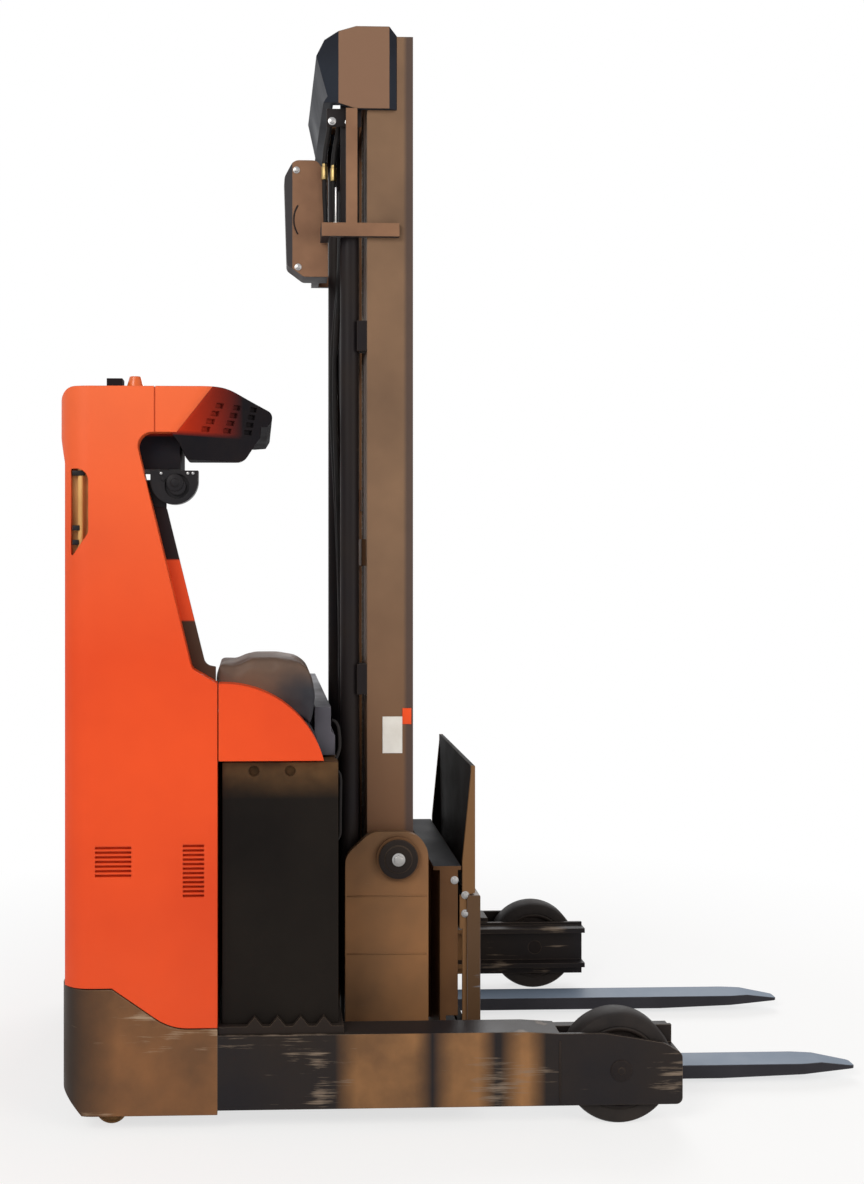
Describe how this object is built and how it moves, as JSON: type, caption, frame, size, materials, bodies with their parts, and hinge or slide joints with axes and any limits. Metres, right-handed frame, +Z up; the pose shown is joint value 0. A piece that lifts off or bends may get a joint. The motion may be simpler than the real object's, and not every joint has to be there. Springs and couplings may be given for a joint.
{
  "type": "reach truck",
  "caption": "Seated reach truck with a red cab, support arms, a reaching and tilting triplex mast, side-shifting forks and a battery behind the mast.",
  "frame": {"origin": "on the floor under the middle of the overall length and width, mast retracted and forks lowered", "axes": "+X forward towards the fork tips, +Y to the truck's left, +Z up"},
  "size_m": [2.367, 1.27, 3.158],
  "materials": {
    "body_red": "gloss",
    "frame_black": "satin",
    "skirt_grey": "worn satin",
    "mast_dark": "satin",
    "trim_black": "moulded",
    "console_brown": "moulded",
    "box_grey": "moulded",
    "battery_black": "satin",
    "fork_steel": "worn satin",
    "steel": "machined",
    "rod_chrome": "polished",
    "tread": "moulded",
    "castor_tread": "moulded",
    "seat_cloth": "woven",
    "amber": "clear",
    "chain": "oiled",
    "hose": "matt",
    "cream": "satin",
    "liner": "moulded"
  },
  "bodies": {
    "chassis": {"skirt": "skirt_grey", "chassis_frame": "frame_black", "side_panel_right": "body_red", "rear_panel": "body_red", "corner_pillar_left": "body_red", "roof": "body_red", "roof_trim": "trim_black", "work_lamp": "trim_black", "beacon": "amber", "grab_bars": "cream", "foot_platform": "trim_black", "seat_pedestal": "frame_black", "seat_cushion": "seat_cloth", "seat_back": "seat_cloth", "steering_column": "trim_black", "steering_wheel": "trim_black", "controls": "trim_black", "console": "console_brown", "armrest": "console_brown", "control_box": "box_grey", "shoulders": "body_red", "side_liner": "liner", "battery": "battery_black", "battery_table": "frame_black", "drive_motor": "frame_black", "arm_right": "frame_black", "arm_left": "frame_black", "load_axles": "frame_black", "reach_cylinder": "frame_black"},
    "load_wheel_right": {"load_wheel_right": "tread"},
    "load_wheel_left": {"load_wheel_left": "tread"},
    "drive_unit": {"drive_unit": "frame_black"},
    "drive_wheel": {"drive_wheel": "tread"},
    "castor_fork": {"castor_fork": "steel"},
    "castor_wheel": {"castor_wheel": "castor_tread"},
    "reach_carriage": {"reach_frame": "mast_dark", "pivot_caps": "mast_dark", "reach_rollers": "steel", "reach_rod": "rod_chrome"},
    "mast_outer": {"mast_outer_rails": "mast_dark", "mast_outer_ties": "frame_black", "lift_cylinders": "frame_black", "mast_hood": "trim_black", "hose_sheaves": "mast_dark", "mast_hoses": "hose"},
    "mast_middle": {"mast_middle_rails": "mast_dark", "mast_middle_ties": "mast_dark", "lift_rods": "rod_chrome", "mast_chains": "chain", "mast_chain_tops": "chain"},
    "mast_inner": {"mast_inner_rails": "mast_dark", "mast_inner_ties": "mast_dark", "free_lift_cylinder": "frame_black"},
    "free_lift_head": {"free_lift_head": "steel", "carriage_chains": "chain", "carriage_chain_tops": "chain"},
    "fork_carriage": {"fork_carriage": "mast_dark"},
    "shift_frame": {"shift_frame": "frame_black", "fork_right": "fork_steel", "fork_left": "fork_steel"}
  },
  "joints": [
    {"name": "load_wheel_right_spin", "type": "hinge", "parent": "chassis", "child": "load_wheel_right", "pos_m": [0.3815, -0.579, 0.155], "axis": [0, 1, 0], "continuous": true},
    {"name": "load_wheel_left_spin", "type": "hinge", "parent": "chassis", "child": "load_wheel_left", "pos_m": [0.3815, 0.579, 0.155], "axis": [0, 1, 0], "continuous": true},
    {"name": "steering", "type": "hinge", "parent": "chassis", "child": "drive_unit", "pos_m": [-0.968, 0.15, 0.372], "axis": [0, 0, 1], "range_deg": [-90, 90]},
    {"name": "drive_wheel_spin", "type": "hinge", "parent": "drive_unit", "child": "drive_wheel", "pos_m": [-0.968, 0.15, 0.155], "axis": [0, 1, 0], "continuous": true},
    {"name": "castor_swivel", "type": "hinge", "parent": "chassis", "child": "castor_fork", "pos_m": [-1.0255, -0.54817, 0.2], "axis": [0, 0, 1], "continuous": true},
    {"name": "castor_spin", "type": "hinge", "parent": "castor_fork", "child": "castor_wheel", "pos_m": [-1.0415, -0.54817, 0.045], "axis": [0, 1, 0], "continuous": true},
    {"name": "reach", "type": "slide", "parent": "chassis", "child": "reach_carriage", "axis": [1, 0, 0], "range_m": [0, 0.58]},
    {"name": "mast_tilt", "type": "hinge", "parent": "reach_carriage", "child": "mast_outer", "pos_m": [-0.2205, 0, 0.702], "axis": [0, 1, 0], "range_deg": [-3, 1]},
    {"name": "mast_lift", "type": "slide", "parent": "mast_outer", "child": "mast_middle", "axis": [0, 0, 1], "range_m": [0, 1.8804]},
    {"name": "inner_lift", "type": "slide", "parent": "mast_middle", "child": "mast_inner", "axis": [0, 0, 1], "range_m": [0, 1.8804], "deforming": ["mast_chains"]},
    {"name": "free_lift", "type": "slide", "parent": "mast_inner", "child": "fork_carriage", "axis": [0, 0, 1], "range_m": [0, 1.99792]},
    {"name": "head_lift", "type": "slide", "parent": "mast_inner", "child": "free_lift_head", "axis": [0, 0, 1], "range_m": [0, 0.99896], "deforming": ["carriage_chains"]},
    {"name": "side_shift", "type": "slide", "parent": "fork_carriage", "child": "shift_frame", "axis": [0, 1, 0], "range_m": [-0.075, 0.075]}
  ],
  "couplings": [
    {"joint": "inner_lift", "follows": "mast_lift", "ratio": 1},
    {"joint": "head_lift", "follows": "free_lift", "ratio": 0.5}
  ]
}
